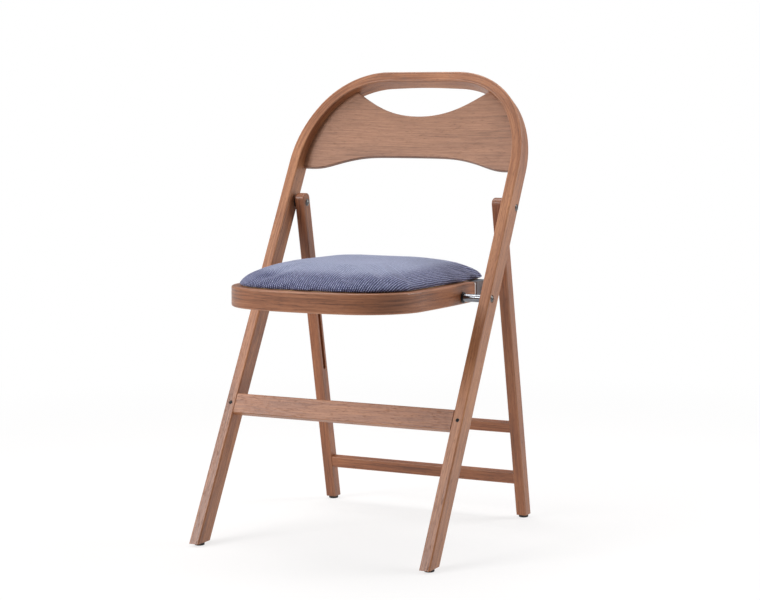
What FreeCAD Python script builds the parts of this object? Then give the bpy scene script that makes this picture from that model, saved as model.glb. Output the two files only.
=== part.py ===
import FreeCAD, Part
import os
import math

os.makedirs("parts", exist_ok=True)

V = FreeCAD.Vector

# ---------------------------------------------------------------------------
# Folding chair of bent wood: a leaning front frame (arch and front legs in one
# piece), a rear frame hinged to it, and a seat hinged between them whose rear
# pins run in slots in the rear legs.  Millimetres, +Z up, sitter faces -Y.
# Origin: middle of the footprint, on the floor.
# ---------------------------------------------------------------------------

# --- overall -----------------------------------------------------------------
frame_width = 450.0          # over the front legs
y_shift = -232.0             # brings the middle of the footprint box to Y = 0
glide_height = 5.0           # floor to the sawn foot of each leg
glide_radius = 8.5

# --- front frame: bent arch and legs ------------------------------------------
lean = 29.70                 # degrees back from the vertical
leg_face = 19.0              # width of the bent strip, seen from the front
leg_depth = 34.0             # depth of the bent strip, front to back
bend_start = 730.2           # along the leg, where the side bend starts
bend_r1 = 205.5              # first (side) bend, outer radius
bend_a1 = 33.6               # degrees turned by the side bend
bend_r2 = 147.4              # second (corner) bend, outer radius
edge_round = 2.6             # rounded long edges
grip_scoop = 6.0             # the back of the top is hollowed for the fingers
grip_half = 112.0

# --- back panel ----------------------------------------------------------------
panel_thick = 8.0
panel_depth = 16.0           # front of the panel behind the frame's front face
panel_upright = 0.08         # the panel stands a little more upright than the frame
panel_belly = 7.0            # it bows back by this much in the middle
panel_groove = 5.0           # edge let into the frame
panel_top = [(0, 830.7), (20, 831.7), (40, 834.7), (60, 840.1), (80, 848.1),
             (100, 858.5), (110, 864.4), (120, 870.4), (130, 876.6), (145, 886.0), (170, 901.0), (190, 912.0)]
panel_bottom = [(0, 753.5), (30, 753.4), (60, 752.8), (90, 750.5), (110, 746.8), (130, 741.5),
                (145, 736.6), (160, 731.8), (175, 728.4), (190, 727.1), (206, 727.0), (224, 727.0)]

# --- front stretcher -------------------------------------------------------------
fs_low, fs_high = 244.1, 279.6
fs_thick = 14.0
tenon_long = 12.0

# --- pivots (along the front leg, and depth behind its front face) ----------------
seat_pivot_s, seat_pivot_d = 481.9, 9.5
rear_pivot_s, rear_pivot_d = 658.8, 27.0

# --- rear frame --------------------------------------------------------------------
rear_lean = 10.65            # degrees, top forward
rear_out = 202.25            # outer face of the rear leg
rear_face = 19.05            # leg width across the chair
rear_deep = 22.4             # leg depth
rear_above = 16.5            # leg end above the pivot
ru_low, ru_high = -407.6, -389.6     # upper stretcher, along the leg from the pivot
rl_low, rl_high = -503.6, -483.4     # lower stretcher
rs_front, rs_thick = -9.2, 14.6      # stretcher front face and thickness
slot_half = 4.2              # half width of the guide slot
slot_deep = 8.0
slot_top = 147.4             # roller centre, below the pivot, chair open
slot_end = 310.3             # centre of the slot's lower end

# --- seat ---------------------------------------------------------------------------
seat_tilt = 1.43             # degrees, front high
rim_front = -263.1           # front of the rim, from the seat pivot
rim_end = 59.5               # rear ends of the bent rim
rim_r1, rim_a1 = 511.0, 9.1  # front bow
rim_r2, rim_a2 = 108.0, 79.1 # corners
rim_r3 = 2058.0              # sides
rim_thick = 22.0
rim_low, rim_high = -11.5, 22.2
board_thick = 6.0
board_inset = 18.5
pad_inset = 12.2
pad_rear = 140.0
pad_fall = 1.32              # the pad slopes this much more gently at the rear
pad_corner = 18.0
pad_crown = 60.4
cover_thick = 2.0
saddle_thick = 2.5
saddle_half = 167.0
saddle_front, saddle_rear = 65.5, 139.0

# --- pivot hardware -------------------------------------------------------------------
screw_r = 3.0
head_r = 6.3
tube_r = 6.6
flange_r = 9.0
barrel_r = 4.0
run_fit = 0.05

half_w = frame_width / 2.0
leg_in = half_w - leg_face
rear_in = rear_out - rear_face
ca, sa = math.cos(math.radians(lean)), math.sin(math.radians(lean))
cb, sb = math.cos(math.radians(rear_lean)), math.sin(math.radians(rear_lean))


# ---------------------------------------------------------------------------
# frames of reference
# ---------------------------------------------------------------------------
def front_point(x, d, s):
    """x across, d behind the frame's front face, s along the leg."""
    return V(x, s * sa + d * ca + y_shift, s * ca - d * sa)


T_PT = front_point(0, rear_pivot_d, rear_pivot_s)     # rear leg pivot
P_PT = front_point(0, seat_pivot_d, seat_pivot_s)     # seat pivot

PL_FRONT = FreeCAD.Placement(V(0, y_shift, 0), FreeCAD.Rotation(V(1, 0, 0), -lean))
PL_REAR = FreeCAD.Placement(T_PT, FreeCAD.Rotation(V(1, 0, 0), rear_lean))
PL_SEAT = FreeCAD.Placement(P_PT, FreeCAD.Rotation(V(1, 0, 0), -seat_tilt))


def put(shape, placement):
    s = shape.copy()
    s.transformShape(placement.toMatrix(), True)
    return s


def box(x0, x1, y0, y1, z0, z1):
    return Part.makeBox(x1 - x0, y1 - y0, z1 - z0, V(x0, y0, z0))


def cyl_x(r, x0, x1, y=0.0, z=0.0):
    return Part.makeCylinder(r, x1 - x0, V(x0, y, z), V(1, 0, 0))


def cyl_y(r, y0, y1, x=0.0, z=0.0):
    return Part.makeCylinder(r, y1 - y0, V(x, y0, z), V(0, 1, 0))


def cyl_z(r, z0, z1, x=0.0, y=0.0):
    return Part.makeCylinder(r, z1 - z0, V(x, y, z0), V(0, 0, 1))


def mirror_x(shape):
    return shape.mirror(V(0, 0, 0), V(1, 0, 0))


def both(shape):
    return Part.makeCompound([shape, mirror_x(shape)])


def polar(c, r, a):
    return (c[0] + r * math.cos(math.radians(a)), c[1] + r * math.sin(math.radians(a)))


def arc(c, r, a0, a1, lift):
    p = [polar(c, r, a) for a in (a0, (a0 + a1) / 2.0, a1)]
    return Part.Arc(lift(*p[0]), lift(*p[1]), lift(*p[2])).toShape()


def seg(p, q):
    return Part.LineSegment(p, q).toShape()


def one_solid(shape):
    if shape.ShapeType != "Solid" and len(shape.Solids) == 1:
        return shape.Solids[0]
    return shape


def round_edges(shape, edges, r):
    try:
        out = shape.makeFillet(r, edges)
        if out.isValid() and out.Volume > 0:
            return one_solid(out)
    except Exception:
        pass
    return shape


made = []


def save(name, shape):
    solids = shape.Solids
    for s in solids:
        if not s.isValid() or s.Volume <= 0:
            print("bad solid in", name)
    shape.exportStep(os.path.join("parts", name + ".step"))
    made.append((name, len(solids), sum(s.Volume for s in solids)))


# ---------------------------------------------------------------------------
# bent arch outline in the plane of the front frame (x, s)
# ---------------------------------------------------------------------------
def arch_edges(offset, s_from, lift):
    """Open chain of edges, right foot to left foot, at offset inside the outer face."""
    c1 = (half_w - bend_r1, bend_start)
    c2 = polar(c1, bend_r1 - bend_r2, bend_a1)
    r1, r2 = bend_r1 - offset, bend_r2 - offset
    foot = (half_w - offset, s_from)
    a = (half_w - offset, bend_start)
    top = polar(c2, r2, 90.0)
    edges = [seg(lift(*foot), lift(*a)), arc(c1, r1, 0.0, bend_a1, lift), arc(c2, r2, bend_a1, 90.0, lift),
             seg(lift(*top), lift(-top[0], top[1]))]
    m = lambda x, s: lift(-x, s)
    edges += [arc(c2, r2, 90.0, bend_a1, m), arc(c1, r1, bend_a1, 0.0, m), seg(lift(-a[0], a[1]), lift(-foot[0], foot[1]))]
    return edges


def lift_front(x, s):
    return V(x, 0, s)


def arch_region(offset, s_from, d0, d1):
    e = arch_edges(offset, s_from, lift_front)
    f = half_w - offset
    w = Part.Wire(e + [seg(lift_front(-f, s_from), lift_front(f, s_from))])
    solid = Part.Face(w).extrude(V(0, d1 - d0, 0))
    solid.translate(V(0, d0, 0))
    return solid


# --- bent frame: arch and two legs, one strip --------------------------------
outer = arch_region(0.0, -40.0, 0.0, leg_depth)
inner = arch_region(leg_face, -60.0, -5.0, leg_depth + 5.0)
bent = one_solid(outer.cut(inner))
scoop_line = Part.BSplineCurve()
scoop_pts = [V(0.1 * k * grip_half, leg_depth - grip_scoop * math.cos(math.radians(9.0 * k)) ** 2, 850.0) for k in range(-10, 11)]
scoop_line.interpolate(Points=scoop_pts, InitialTangent=V(1, 0, 0), FinalTangent=V(1, 0, 0))
scoop_back = leg_depth + 12.0
scoop = Part.Face(Part.Wire([scoop_line.toShape(), seg(V(grip_half, leg_depth, 850), V(grip_half, scoop_back, 850)),
                             seg(V(grip_half, scoop_back, 850), V(-grip_half, scoop_back, 850)),
                             seg(V(-grip_half, scoop_back, 850), V(-grip_half, leg_depth, 850))])).extrude(V(0, 0, 100))
bent = one_solid(bent.cut(scoop))
long_edges = []
for e in bent.Edges:
    b = e.BoundBox
    if b.YLength < 1e-6 and not (b.ZLength < 1e-6 and b.ZMax < -30):
        if not (b.ZMin > 850.0 and b.XLength < 30.0 and b.ZLength > 15.0):
            long_edges.append(e)
    elif b.ZMin > 860.0 and 0.5 < b.YLength < 8.0:
        long_edges.append(e)
bent = round_edges(bent, long_edges, edge_round)

# --- back panel: bowed sheet, trimmed to its outline ---------------------------
bow_r = (206.0 ** 2 + panel_belly ** 2) / (2.0 * panel_belly)


def bow_face(s):
    d_mid = panel_depth + panel_belly + panel_upright * (800.0 - s)
    xe = 226.0

    def at(x, t):
        r = bow_r + t
        return V(x, d_mid + t - (r - math.sqrt(r * r - x * x)), s)
    t = panel_thick
    e = [Part.Arc(at(-xe, 0), at(0, 0), at(xe, 0)).toShape(), seg(at(xe, 0), at(xe, t)),
         Part.Arc(at(xe, t), at(0, t), at(-xe, t)).toShape(), seg(at(-xe, t), at(-xe, 0))]
    return Part.Face(Part.Wire(e))


s0, s1 = 700.0, 900.0
sheet = bow_face(s0).extrude(V(0, -panel_upright * (s1 - s0), s1 - s0))


def spline(points, sign=1):
    pts = [V(-x, -30, s) for x, s in reversed(points[1:])] + [V(x, -30, s) for x, s in points]
    c = Part.BSplineCurve()
    c.interpolate(pts)
    return c.toShape(), pts[0], pts[-1]


top_e, ta, tb = spline([(x, s) for x, s in panel_top])
bot_e, ba, bb = spline(panel_bottom)
outline = Part.Face(Part.Wire(Part.__sortEdges__([top_e, seg(tb, V(bb.x, -30, tb.z)), seg(V(bb.x, -30, tb.z), bb), bot_e,
                                                  seg(ba, V(ba.x, -30, ta.z)), seg(V(ba.x, -30, ta.z), ta)])))
prism = outline.extrude(V(0, 120, 0))
panel = one_solid(sheet.common(prism).common(arch_region(leg_face - panel_groove, 690.0, -40.0, 100.0)))
lip = []
for e in panel.Edges:
    b = e.BoundBox
    if b.XLength > 200 and b.YLength > 1.0:
        lip.append(e)
panel_plain = panel
panel = round_edges(panel, lip, 1.4)
bent = one_solid(bent.cut(panel_plain))

# --- front stretcher with tenons -------------------------------------------------
rail = box(-leg_in, leg_in, 0.0, fs_thick, fs_low, fs_high)
rail = round_edges(rail, [e for e in rail.Edges if e.BoundBox.XLength > 100], 1.6)
tenon = box(leg_in, leg_in + tenon_long, 3.0, 11.0, fs_low + 4.0, fs_high - 4.0)
rail = one_solid(rail.fuse([tenon, mirror_x(tenon)]).removeSplitter())
bent = bent.cut(tenon).cut(mirror_x(tenon))

# --- screws that pin the tenons, from the front of each leg ------------------------
pin_x, pin_s = half_w - leg_face / 2.0, (fs_low + fs_high) / 2.0
pin_hole = cyl_y(1.9, -1.0, 27.0, pin_x, pin_s)
pin_sink = cyl_y(3.4, -1.0, 3.6, pin_x, pin_s)
tool = pin_hole.fuse(pin_sink)
bent = bent.cut(both(tool))
rail = one_solid(rail.cut(both(tool)))
pin_head = cyl_y(3.2, 0.8, 3.6, pin_x, pin_s)
pin_head = pin_head.cut(box(pin_x - 3.5, pin_x + 3.5, 0.0, 1.9, pin_s - 0.45, pin_s + 0.45))
pin_head = pin_head.cut(box(pin_x - 0.45, pin_x + 0.45, 0.0, 1.9, pin_s - 3.5, pin_s + 3.5))
rail_screw = one_solid(pin_head.fuse(cyl_y(1.85, 3.6, 26.0, pin_x, pin_s)).removeSplitter())

# --- pivot holes in the front legs ---------------------------------------------------
leg_hole = cyl_x(screw_r + 0.1, leg_in - 1, half_w + 1)
seat_sink = cyl_x(head_r + 0.4, half_w - 1.2, half_w + 1)
rear_sink = cyl_x(head_r + 0.4, half_w - 1.4, half_w + 1)
for sink, d, s in ((seat_sink, seat_pivot_d, seat_pivot_s), (rear_sink, rear_pivot_d, rear_pivot_s)):
    t = leg_hole.fuse(sink)
    t.translate(V(0, d, s))
    bent = bent.cut(both(t))

bent = put(bent, PL_FRONT)
below = box(-400, 400, -500, 500, -200, glide_height)
bent = bent.cut(below)

# --- glides and their nails ---------------------------------------------------------
def glide(x, y):
    g = cyl_z(glide_radius, 0.0, glide_height, x, y)
    g = round_edges(g, [e for e in g.Edges if e.BoundBox.ZLength < 1e-6 and e.BoundBox.ZMax < 0.1], 1.4)
    return g.cut(cyl_z(3.6, -1.0, 2.6, x, y)).cut(cyl_z(1.5, 0.0, 10.0, x, y))


def nail(x, y):
    return one_solid(cyl_z(3.2, 1.4, 2.6, x, y).fuse(cyl_z(1.45, 2.6, 20.0, x, y)).removeSplitter())


fg = (half_w - leg_face / 2.0, glide_height * sa / ca + leg_depth / ca / 2.0 + y_shift)
bent = bent.cut(both(cyl_z(1.5, 0.0, 21.0, *fg)))
bent = one_solid(bent)
save("bent_frame", bent)
save("back_panel", put(panel, PL_FRONT))
save("front_stretcher", put(rail, PL_FRONT))
save("front_stretcher_screws", put(both(rail_screw), PL_FRONT))
save("front_glides", both(glide(*fg)))
save("front_glide_nails", both(nail(*fg)))


# ---------------------------------------------------------------------------
# slotted dome-head screw, axis +X, head outside; head seat at x_seat
# ---------------------------------------------------------------------------
def dome_screw(x_seat, dome, r_head, r_shank, x_tip):
    # dome: height of the head above its seat
    cap_r = (r_head ** 2 + dome ** 2) / (2.0 * dome)
    ball = Part.makeSphere(cap_r, V(x_seat + dome - cap_r, 0, 0))
    head = ball.common(box(x_seat, x_seat + dome + 1, -20, 20, -20, 20))
    head = head.cut(box(x_seat + dome - 1.5, x_seat + dome + 1, -20, 20, -0.7, 0.7))
    return one_solid(head.fuse(cyl_x(r_shank, x_tip, x_seat)).removeSplitter())


def at_point(shape, p):
    s = shape.copy()
    s.translate(V(0, p.y, p.z))
    return s


def turn(shape, deg):
    s = shape.copy()
    s.rotate(V(0, 0, 0), V(1, 0, 0), deg)
    return s


# --- rear leg pivot: screw from outside into a barrel nut from inside ---------------
p_screw = turn(dome_screw(half_w - 1.4, 3.4, head_r, screw_r, 190.0), -62.0)
save("rear_pivot_screws", both(at_point(p_screw, T_PT)))
nut_head_r, nut_dome = 6.6, 2.8
cap_r = (nut_head_r ** 2 + nut_dome ** 2) / (2.0 * nut_dome)
nut_face = rear_in - 0.3
nut = Part.makeSphere(cap_r, V(nut_face - nut_dome + cap_r, 0, 0)).common(box(nut_face - nut_dome - 1, nut_face, -20, 20, -20, 20))
nut = nut.fuse(cyl_x(barrel_r, nut_face, 204.0)).cut(cyl_x(screw_r, 190.0, 205.0))
nut = nut.cut(box(nut_face - nut_dome - 1, nut_face - nut_dome + 1.2, -20, 20, -0.7, 0.7))
save("rear_pivot_barrel_nuts", both(at_point(one_solid(turn(nut, 20.0)), T_PT)))
washer = cyl_x(8.6, rear_out + 0.3, leg_in).cut(cyl_x(barrel_r + 0.1, rear_out, leg_in + 1))
washer = washer.cut(cyl_x(screw_r + 0.1, rear_out, leg_in + 1))
save("rear_pivot_washers", both(at_point(one_solid(washer), T_PT)))

# --- seat pivot: screw through the leg, spacer tube, lock nut inside the rim ---------
rim_side = 171.6
s_screw = turn(dome_screw(half_w - 1.2, 3.2, head_r, screw_r, 141.5), 28.0)
save("seat_pivot_screws", both(at_point(s_screw, P_PT)))
tube = cyl_x(tube_r, rim_side + 2.0 + 0.3, leg_in).cut(cyl_x(screw_r + 0.05, 150.0, leg_in + 1))
save("seat_pivot_tubes", both(at_point(tube, P_PT)))
hexa = Part.Face(Part.makePolygon([V(143.0, 5.6 * math.cos(math.radians(60 * k + 30)), 5.6 * math.sin(math.radians(60 * k + 30))) for k in range(7)]))
lock = hexa.extrude(V(5.0, 0, 0)).cut(cyl_x(screw_r, 140.0, 150.0))
save("seat_pivot_nuts", both(at_point(lock, P_PT)))

# ---------------------------------------------------------------------------
# rear frame, modelled about the pivot: y = depth, z = along the leg
# ---------------------------------------------------------------------------
hd = rear_deep / 2.0
leg = box(rear_in, rear_out, -hd, hd, -600.0, rear_above)
leg = round_edges(leg, [e for e in leg.Edges if e.BoundBox.XLength > 10 and e.BoundBox.ZMin > rear_above - 1], 9.5)
ed = [e for e in leg.Edges if e.BoundBox.XLength < 1e-6 and not (e.BoundBox.ZLength < 1e-6 and e.BoundBox.ZMax < -500)]
leg = round_edges(leg, ed, 2.4)
leg = leg.cut(cyl_x(5.5, rear_in - 1, rear_out + 1))
slot = box(rear_in - 1, rear_in + slot_deep, -slot_half, slot_half, -slot_end, -slot_top)
slot = slot.fuse([cyl_x(slot_half, rear_in - 1, rear_in + slot_deep, 0, -slot_top),
                  cyl_x(slot_half, rear_in - 1, rear_in + slot_deep, 0, -slot_end)])
leg = leg.cut(slot)


def rear_rail(z0, z1):
    r = box(-rear_in, rear_in, rs_front, rs_front + rs_thick, z0, z1)
    r = round_edges(r, [e for e in r.Edges if e.BoundBox.XLength > 100], 1.5)
    t = box(rear_in, rear_in + tenon_long, rs_front + 3.0, rs_front + rs_thick - 3.0, z0 + 2.5, z1 - 2.5)
    return one_solid(r.fuse([t, mirror_x(t)]).removeSplitter()), t


upper, t_up = rear_rail(ru_low, ru_high)
lower, t_lo = rear_rail(rl_low, rl_high)
leg = leg.cut(t_up).cut(t_lo)
leg_r = put(leg, PL_REAR).cut(below)
rb = -(T_PT.z - glide_height) / cb
foot = PL_REAR.multVec(V((rear_in + rear_out) / 2.0, 0.0, rb))
rg = (foot.x, foot.y)
leg_r = one_solid(leg_r.cut(cyl_z(1.5, 0.0, 21.0, *rg)))
save("rear_leg_right", leg_r)
save("rear_leg_left", mirror_x(leg_r))
save("rear_upper_stretcher", put(upper, PL_REAR))
save("rear_lower_stretcher", put(lower, PL_REAR))
bush = cyl_x(5.5, rear_in, rear_out).cut(cyl_x(barrel_r + run_fit, rear_in - 1, rear_out + 1))
save("rear_pivot_bushes", put(both(bush), PL_REAR))
save("rear_glides", both(glide(*rg)))
save("rear_glide_nails", both(nail(*rg)))

# --- rollers that run in the slots ---------------------------------------------------
roller = cyl_x(3.9, rear_in - 0.3, rear_in + slot_deep - 0.3, 0, -slot_top)
roller = roller.cut(cyl_x(1.8, rear_in - 1.0, rear_in + 2.0, 0, -slot_top))
save("slot_rollers", put(both(roller), PL_REAR))

# ---------------------------------------------------------------------------
# seat, modelled about its pivot: y to the rear, z up, level
# ---------------------------------------------------------------------------
c1 = (0.0, rim_front + rim_r1)
c2 = polar(c1, rim_r1 - rim_r2, -90.0 + rim_a1)
side_a = -90.0 + rim_a1 + rim_a2
c3 = polar(c2, rim_r2 - rim_r3, side_a)


def half_outline(inset, y_end, z):
    """Edges from the front middle to the side at y_end, and the end point."""
    up = lambda x, y: V(x, y, z)
    r3 = rim_r3 - inset
    a_end = math.degrees(math.asin((y_end - c3[1]) / r3))
    e = [arc(c1, rim_r1 - inset, -90.0, -90.0 + rim_a1, up), arc(c2, rim_r2 - inset, -90.0 + rim_a1, side_a, up),
         arc(c3, r3, side_a, a_end, up)]
    return e, polar(c3, r3, a_end)


def mirror_edges(edges):
    return [mirror_x(e) for e in edges]


def u_face(o, i, y_end, z):
    eo, po = half_outline(o, y_end, z)
    ei, pi = half_outline(i, y_end, z)
    cap = seg(V(po[0], po[1], z), V(pi[0], pi[1], z))
    w = Part.Wire(Part.__sortEdges__(eo + mirror_edges(eo) + ei + mirror_edges(ei) + [cap, mirror_x(cap)]))
    return Part.Face(w)


def closed_wire(inset, y_rear, r, z):
    """Whole seat outline: bowed front, sides, rounded rear corners, straight rear edge."""
    e, p = half_outline(inset, y_rear - r, z)
    q = (p[0] - r, y_rear)
    mid = (p[0] - r + r * math.cos(math.radians(45)), y_rear - r + r * math.sin(math.radians(45)))
    corner = Part.Arc(V(p[0], p[1], z), V(mid[0], mid[1], z), V(q[0], q[1], z)).toShape()
    rear = seg(V(q[0], q[1], z), V(-q[0], q[1], z))
    right = e + [corner]
    return Part.Wire(Part.__sortEdges__(right + [rear] + mirror_edges(right)))


rim = u_face(0.0, rim_thick, rim_end, rim_low).extrude(V(0, 0, rim_high - rim_low))
rim = one_solid(rim)
# the sawn ends are rounded over, top and bottom
ends = [e for e in rim.Edges if e.BoundBox.YMin > rim_end - 0.5 and e.BoundBox.XLength > 10]
rim = round_edges(rim, ends, 6.0)
run = []
for e in rim.Edges:
    b = e.BoundBox
    if b.ZLength < 1e-6 and (abs(b.ZMin - rim_high) < 0.01 or abs(b.ZMin - rim_low) < 0.01) and b.YMin < rim_end - 8.0:
        run.append(e)
rim_sq = rim
rim = round_edges(rim, run, 2.6)
rim = rim.cut(both(cyl_x(5.0, 140.0, 180.0)))
save("seat_rim", put(one_solid(rim), PL_SEAT))

s_bush = cyl_x(5.0, 149.4, rim_side).fuse(cyl_x(flange_r, rim_side, rim_side + 2.0)).cut(cyl_x(screw_r + run_fit, 140.0, 180.0))
save("seat_pivot_bushes", put(both(one_solid(s_bush.removeSplitter())), PL_SEAT))

board = Part.Face(closed_wire(board_inset, pad_rear - 8.5, 13.0, rim_high)).extrude(V(0, 0, board_thick))

# --- upholstered pad: foam and its cover, drawn down over the edge of the board -------
levels = [(0.3, 0.0), (8.2, 4.4), (17.6, 14.0), (26.5, 27.0), (33.2, 45.0), (36.8, 66.0), (pad_crown - rim_high, 88.0)]


def dome(shrink, drop):
    wires = []
    for k, (h, ins) in enumerate(levels):
        i = pad_inset + ins + shrink
        r = max(10.0, pad_corner - ins * 0.1)
        z = rim_high + h - (drop if k else 0.0)
        wires.append(closed_wire(i, pad_rear - ins * pad_fall - shrink, r, z))
    return Part.makeLoft(wires, True, False)


outer_dome = dome(0.0, 0.0)
inner_dome = dome(cover_thick, cover_thick)
foam = inner_dome.cut(board)
skins = outer_dome.cut(inner_dome).cut(board).Solids
skin = min(skins, key=lambda k: k.Volume)
save("seat_cover", put(skin, PL_SEAT))
save("seat_foam", put(one_solid(foam), PL_SEAT))

# --- steel saddle across the rear of the seat, with a tab down each side ----------------
pin_at = PL_SEAT.inverse().multVec(PL_REAR.multVec(V(0, 0, -slot_top)))
plate = box(-saddle_half, saddle_half, saddle_front, saddle_rear - 22.0, rim_high - saddle_thick, rim_high)
plate = plate.fuse(box(-120.0, 120.0, 22.0, saddle_front, rim_high - saddle_thick, rim_high))
prof = [(saddle_front, rim_high), (saddle_front, -3.0), (pin_at.y - 14.0, pin_at.z - 9.0), (pin_at.y, pin_at.z - 9.0)]
tail = Part.Arc(V(0, pin_at.y, pin_at.z - 9.0), V(0, pin_at.y + 9.0, pin_at.z), V(0, pin_at.y, pin_at.z + 9.0)).toShape()
ring = [seg(V(0, *prof[k]), V(0, *prof[k + 1])) for k in range(3)] + [tail,
        seg(V(0, pin_at.y, pin_at.z + 9.0), V(0, saddle_rear - 22.0, rim_high)), seg(V(0, saddle_rear - 22.0, rim_high), V(0, *prof[0]))]
tab = Part.Face(Part.Wire(ring)).extrude(V(saddle_thick, 0, 0))
tab.translate(V(saddle_half - saddle_thick, 0, 0))
saddle = plate.fuse([tab, mirror_x(tab)]).removeSplitter()
pin_bore = cyl_x(3.0, 150.0, 190.0, pin_at.y, pin_at.z)
saddle = saddle.cut(both(pin_bore))
hole_xy = [(60.0, 36.0), (110.0, 98.0)]
for hx, hy in hole_xy:
    saddle = saddle.cut(both(cyl_z(2.1, 0.0, 40.0, hx, hy)))
    board = board.cut(both(cyl_z(1.7, 0.0, rim_high + 4.7, hx, hy)))
save("rear_saddle", put(one_solid(saddle), PL_SEAT))


def pan_screw(x, y, z_seat, length):
    h = cyl_z(3.8, z_seat - 2.2, z_seat, x, y)
    h = round_edges(h, [e for e in h.Edges if e.BoundBox.ZMax < z_seat - 2.0 and e.BoundBox.ZLength < 1e-6], 1.2)
    h = h.cut(box(x - 2.2, x + 2.2, y - 0.4, y + 0.4, z_seat - 2.4, z_seat - 1.2)).cut(box(x - 0.4, x + 0.4, y - 2.2, y + 2.2, z_seat - 2.4, z_seat - 1.2))
    return one_solid(h.fuse(cyl_z(1.65, z_seat, z_seat + length, x, y)).removeSplitter())


saddle_screws = []
for hx, hy in hole_xy:
    sc = pan_screw(hx, hy, rim_high - saddle_thick, saddle_thick + 4.4)
    saddle_screws += [sc, mirror_x(sc)]
save("saddle_screws", put(Part.makeCompound(saddle_screws), PL_SEAT))

# --- pins riveted in the saddle's tabs ---------------------------------------------------
pin = cyl_x(3.0, saddle_half - saddle_thick - 1.6, rear_in - 0.65, pin_at.y, pin_at.z)
collar = cyl_x(5.5, saddle_half, saddle_half + 2.5, pin_at.y, pin_at.z)
rivet = cyl_x(5.0, saddle_half - saddle_thick - 1.6, saddle_half - saddle_thick, pin_at.y, pin_at.z)
save("slot_pins", put(both(one_solid(pin.fuse([collar, rivet]).removeSplitter())), PL_SEAT))

# --- glue blocks inside the rim, and the screws that hold the board -----------------------
inside = Part.Face(closed_wire(rim_thick, rim_end + 40.0, 20.0, rim_low + 4.0)).extrude(V(0, 0, rim_high - rim_low - 4.0))
blocks, bscrews = [], []
for (x0, x1, y0, y1, sx, sy) in ((88.0, 160.0, rim_front + 30.0, rim_front + 78.0, 112.0, rim_front + 58.0),
                                 (124.0, 160.0, -70.0, -26.0, 136.0, -48.0)):
    b = box(x0, x1, y0, y1, rim_low + 4.0, rim_high)
    if x0 < 100:
        wedge = Part.Face(Part.makePolygon([V(70, rim_front + 20, -30), V(160, rim_front + 20, -30), V(160, rim_front + 110, -30), V(70, rim_front + 20, -30)])).extrude(V(0, 0, 80))
        b = b.common(wedge)
    b = one_solid(b.common(inside))
    hole = cyl_z(2.1, -20.0, rim_high, sx, sy).fuse(cyl_z(4.2, -20.0, 2.0, sx, sy))
    b = b.cut(hole)
    blocks += [one_solid(b), mirror_x(one_solid(b))]
    board = board.cut(both(cyl_z(1.7, 0.0, rim_high + 4.7, sx, sy)))
    sc = pan_screw(sx, sy, 2.0, rim_high - 2.0 + 4.4)
    bscrews += [sc, mirror_x(sc)]
save("seat_glue_blocks", put(Part.makeCompound(blocks), PL_SEAT))
save("seat_board_screws", put(Part.makeCompound(bscrews), PL_SEAT))
save("seat_board", put(one_solid(board), PL_SEAT))

total = sum(v for n, k, v in made)
for n, k, v in made:
    print("%-26s solids %d  volume %.1f cm3" % (n, k, v / 1000.0))
print("nodes", len(made), "T", T_PT, "P", P_PT, "pin", PL_REAR.multVec(V(0, 0, -slot_top)))
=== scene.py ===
import math

import bmesh
import bpy
import numpy as np
from mathutils import Matrix, Vector


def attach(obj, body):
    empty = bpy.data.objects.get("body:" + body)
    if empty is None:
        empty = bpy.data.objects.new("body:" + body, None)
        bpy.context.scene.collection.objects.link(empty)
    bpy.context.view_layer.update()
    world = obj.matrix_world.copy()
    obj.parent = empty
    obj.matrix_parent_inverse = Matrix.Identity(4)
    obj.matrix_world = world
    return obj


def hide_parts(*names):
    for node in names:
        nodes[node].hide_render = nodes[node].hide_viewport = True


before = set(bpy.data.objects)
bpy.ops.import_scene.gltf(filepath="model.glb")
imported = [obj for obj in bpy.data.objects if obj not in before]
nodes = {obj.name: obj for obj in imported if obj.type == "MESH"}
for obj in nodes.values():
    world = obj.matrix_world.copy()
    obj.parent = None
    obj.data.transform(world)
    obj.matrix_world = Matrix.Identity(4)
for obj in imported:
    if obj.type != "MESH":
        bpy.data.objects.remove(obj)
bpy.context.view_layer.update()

scene = bpy.context.scene

# ---------------------------------------------------------------------------
# sizes shared with the model, in metres
# ---------------------------------------------------------------------------
LEAN = math.radians(29.70)
REAR = math.radians(10.65)
TILT = math.radians(1.43)
Y0 = -0.232
T_Y, T_Z = 0.117861221653, 0.558877057664
P_Y, P_Z = 0.015013531705, 0.413886669458
RIM_HIGH = 0.0222
PAD_CROWN = 0.0604


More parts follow.
